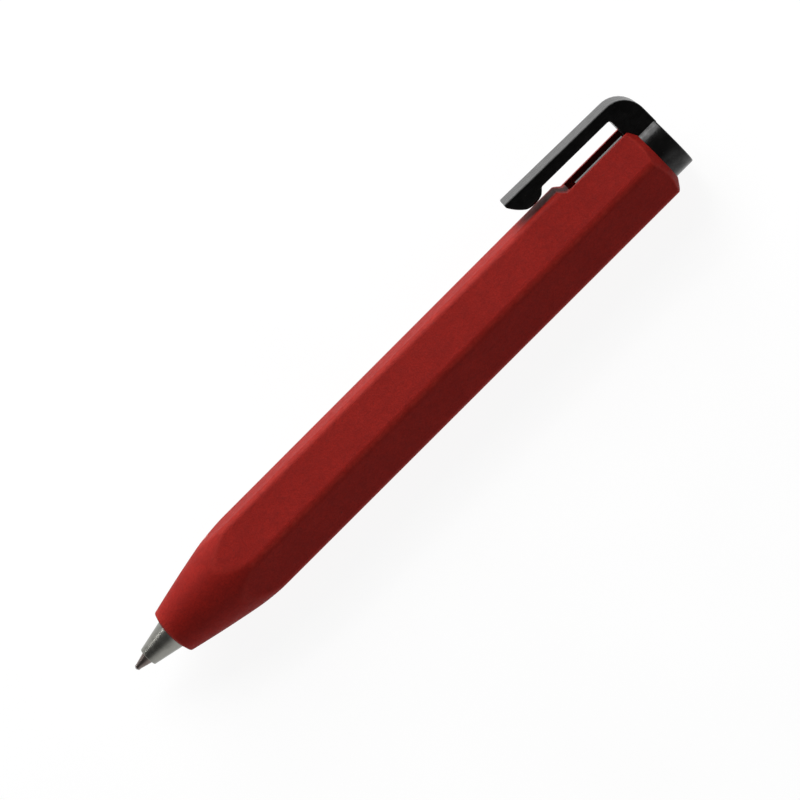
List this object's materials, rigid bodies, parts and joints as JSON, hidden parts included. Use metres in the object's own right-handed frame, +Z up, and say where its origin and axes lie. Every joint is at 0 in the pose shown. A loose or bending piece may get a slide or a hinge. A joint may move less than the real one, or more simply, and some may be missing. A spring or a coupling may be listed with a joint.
{
  "type": "retractable ballpoint pen",
  "caption": "Short hexagonal push-button ballpoint pen with a metal nose cone, and a pocket clip that rides on the button.",
  "frame": {"origin": "on the barrel's rest flat, under the pen's axis, half way between the writing tip and the button's top", "axes": "+X along the pen from the writing tip to the button, +Z up from the rest flat, and the clip on the flat that faces up and towards +Y"},
  "size_m": [0.105, 0.0169, 0.0136],
  "materials": {
    "barrel_plastic": "matte, fine grain",
    "black_gloss": "glossy",
    "nose_metal": "turned",
    "refill_metal": "satin",
    "ball_metal": "polished",
    "brass": "turned",
    "spring_steel": "drawn wire",
    "mechanism_plastic": "moulded",
    "rotor_plastic": "moulded",
    "ink": "liquid",
    "grease": "clear gel"
  },
  "bodies": {
    "barrel": {"barrel": "barrel_plastic", "nose_bush": "brass", "nose_cone": "nose_metal", "cam_sleeve": "mechanism_plastic", "return_spring": "spring_steel"},
    "button": {"button": "black_gloss", "plunger": "mechanism_plastic"},
    "clip": {"clip": "black_gloss"},
    "refill": {"refill_tube": "refill_metal", "refill_tip": "refill_metal", "ink_column": "ink", "grease_follower": "grease"},
    "rotor": {"cam_rotor": "rotor_plastic"},
    "ball": {"writing_ball": "ball_metal"}
  },
  "joints": [
    {"name": "button_slide", "type": "slide", "parent": "barrel", "child": "button", "axis": [1, 0, 0], "range_m": [-0.0012, 0.005], "stiffness_N_per_m": 150},
    {"name": "refill_slide", "type": "slide", "parent": "barrel", "child": "refill", "axis": [1, 0, 0], "range_m": [-0.0012, 0.005], "deforming": ["return_spring"]},
    {"name": "clip_flex", "type": "hinge", "parent": "button", "child": "clip", "pos_m": [0.0501, 0.00147, 0.0069], "axis": [0, 0.5, -0.866], "range_deg": [0, 5], "stiffness_Nm_per_rad": 1.1},
    {"name": "rotor_turn", "type": "hinge", "parent": "refill", "child": "rotor", "pos_m": [0.02, 0, 0.00605], "axis": [1, 0, 0], "continuous": true},
    {"name": "ball_roll", "type": "hinge", "parent": "refill", "child": "ball", "pos_m": [-0.05215, 0, 0.00605], "axis": [0, 1, 0], "continuous": true}
  ],
  "couplings": [
    {"joint": "refill_slide", "follows": "button_slide", "ratio": 1}
  ]
}
